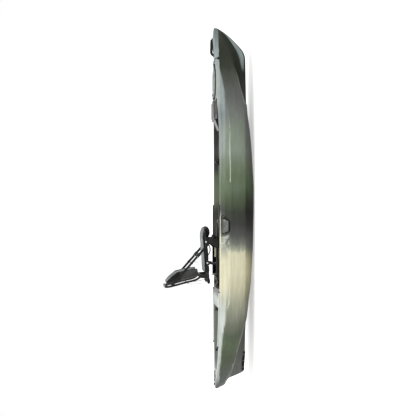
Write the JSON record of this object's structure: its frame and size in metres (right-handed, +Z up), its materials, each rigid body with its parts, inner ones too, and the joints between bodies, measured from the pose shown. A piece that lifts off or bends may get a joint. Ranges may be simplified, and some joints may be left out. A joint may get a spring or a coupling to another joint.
{
  "type": "fishing kayak",
  "caption": "Sit-on-top fishing kayak with an open cockpit, raised folding frame seat, hatched bow, stern tankwell, gear tracks and sliding foot braces",
  "frame": {"origin": "bottom centre of the bounding box, under the middle of the hull", "axes": "+X towards the bow, +Y to port, +Z up"},
  "size_m": [3.556, 0.889, 0.8704],
  "materials": {
    "hull": "rotomoulded polyethylene, streaked camouflage mix, satin",
    "lid": "moulded polyethylene, pale marbled, satin",
    "black_plastic": "glass-filled nylon, fine matte texture",
    "track": "black anodised extrusion, satin",
    "steel": "stainless steel, turned",
    "frame_tube": "powder-coated aluminium tube, satin black",
    "mesh": "open spacer mesh over foam, black and grey",
    "webbing": "woven polyester webbing and cord, black",
    "shock_cord": "braided elastic cord"
  },
  "bodies": {
    "hull": {"hull_shell": "hull", "keel_skid_plate": "black_plastic", "bow_handle": "black_plastic", "stern_handle": "black_plastic", "gear_track_front_left": "track", "gear_track_front_right": "track", "gear_track_rear_left": "track", "gear_track_rear_right": "track", "hatch_rim": "black_plastic", "hatch_hinge_pin": "steel", "bow_eye_left": "black_plastic", "bow_eye_right": "black_plastic", "bungee_hook": "black_plastic", "bow_bungee": "shock_cord", "console_box": "black_plastic", "foot_rail_left": "track", "foot_rail_right": "track", "seat_track_left": "track", "seat_track_right": "track", "tank_hook_front_left": "black_plastic", "tank_hook_front_right": "black_plastic", "tank_hook_rear_left": "black_plastic", "tank_hook_rear_right": "black_plastic", "side_handle_plate_left": "black_plastic", "side_handle_plate_right": "black_plastic"},
    "hatch_lid": {"hatch_lid": "lid"},
    "hatch_latch": {"hatch_latch": "black_plastic"},
    "console_lid": {"console_lid": "lid"},
    "foot_pedal_left": {"foot_pedal_left": "black_plastic"},
    "foot_pedal_right": {"foot_pedal_right": "black_plastic"},
    "foot_lock_left": {"foot_lock_left": "black_plastic"},
    "foot_lock_right": {"foot_lock_right": "black_plastic"},
    "drain_plug": {"drain_plug": "black_plastic"},
    "side_handle_left": {"side_handle_left": "black_plastic"},
    "side_handle_right": {"side_handle_right": "black_plastic"},
    "seat_base": {"seat_runner_left": "frame_tube", "seat_runner_right": "frame_tube", "runner_cross_front": "frame_tube", "runner_cross_rear": "frame_tube"},
    "front_legs": {"front_leg_left": "frame_tube", "front_leg_right": "frame_tube", "front_leg_cross": "frame_tube"},
    "rear_legs": {"rear_leg_left": "frame_tube", "rear_leg_right": "frame_tube", "rear_leg_cross": "frame_tube"},
    "seat_frame": {"seat_rail_left": "frame_tube", "seat_rail_right": "frame_tube", "seat_cross_front": "frame_tube", "seat_cross_rear": "frame_tube", "seat_pad": "mesh", "recline_strap_left": "webbing", "recline_strap_right": "webbing", "back_cord_left": "webbing", "back_cord_right": "webbing"},
    "backrest": {"back_upright_left": "frame_tube", "back_upright_right": "frame_tube", "back_top_tube": "frame_tube", "back_bottom_tube": "frame_tube", "back_pad": "mesh"}
  },
  "joints": [
    {"name": "hatch_lid_hinge", "type": "hinge", "parent": "hull", "child": "hatch_lid", "pos_m": [1.39293, 0, 0.37224], "axis": [0, 1, 0], "range_deg": [0, 100]},
    {"name": "hatch_latch_turn", "type": "hinge", "parent": "hatch_lid", "child": "hatch_latch", "pos_m": [1.11393, 0, 0.37754], "axis": [0, 0, 1], "range_deg": [0, 90]},
    {"name": "console_lid_hinge", "type": "hinge", "parent": "hull", "child": "console_lid", "pos_m": [1.05293, 0, 0.37544], "axis": [0, 1, 0], "range_deg": [0, 100]},
    {"name": "foot_pedal_slide_left", "type": "slide", "parent": "hull", "child": "foot_pedal_left", "axis": [0.9973, -0.0736, 0], "range_m": [-0.075, 0.185]},
    {"name": "foot_lock_turn_left", "type": "hinge", "parent": "foot_pedal_left", "child": "foot_lock_left", "pos_m": [0.46525, 0.31376, 0.26875], "axis": [0.0736, 0.9973, 0], "range_deg": [0, 15], "stiffness_Nm_per_rad": 0.2, "springref_deg": -9.74},
    {"name": "foot_pedal_slide_right", "type": "slide", "parent": "hull", "child": "foot_pedal_right", "axis": [0.9973, 0.0736, 0], "range_m": [-0.075, 0.185]},
    {"name": "foot_lock_turn_right", "type": "hinge", "parent": "foot_pedal_right", "child": "foot_lock_right", "pos_m": [0.46525, -0.31376, 0.26875], "axis": [-0.0736, 0.9973, 0], "range_deg": [0, 15], "stiffness_Nm_per_rad": 0.2, "springref_deg": -9.74},
    {"name": "drain_plug_turn", "type": "hinge", "parent": "hull", "child": "drain_plug", "pos_m": [-1.73787, 0, 0.35885], "axis": [0, 0, 1], "continuous": true},
    {"name": "side_handle_swing_left", "type": "hinge", "parent": "hull", "child": "side_handle_left", "pos_m": [-0.173, 0.40394, 0.31574], "axis": [1, 0, 0], "range_deg": [0, 110]},
    {"name": "side_handle_swing_right", "type": "hinge", "parent": "hull", "child": "side_handle_right", "pos_m": [-0.173, -0.40394, 0.31574], "axis": [-1, 0, 0], "range_deg": [0, 110]},
    {"name": "seat_slide", "type": "slide", "parent": "hull", "child": "seat_base", "axis": [1, 0, 0], "range_m": [-0.06, 0.06]},
    {"name": "front_leg_fold", "type": "hinge", "parent": "seat_base", "child": "front_legs", "pos_m": [-0.34493, 0, 0.3573], "axis": [0, -1, 0], "range_deg": [0, 70]},
    {"name": "rear_leg_fold", "type": "hinge", "parent": "seat_base", "child": "rear_legs", "pos_m": [-0.54943, 0, 0.343], "axis": [0, -1, 0], "range_deg": [0, 70]},
    {"name": "seat_level", "type": "hinge", "parent": "front_legs", "child": "seat_frame", "pos_m": [-0.33004, 0, 0.46326], "axis": [0, -1, 0], "range_deg": [-70, 0]},
    {"name": "backrest_recline", "type": "hinge", "parent": "seat_frame", "child": "backrest", "pos_m": [-0.66223, 0, 0.51263], "axis": [0, 1, 0], "range_deg": [-12, 30], "deforming": ["recline_strap_left", "recline_strap_right", "back_cord_left", "back_cord_right"]}
  ],
  "couplings": [
    {"joint": "rear_leg_fold", "follows": "front_leg_fold", "ratio": 1},
    {"joint": "seat_level", "follows": "front_leg_fold", "ratio": -1}
  ]
}
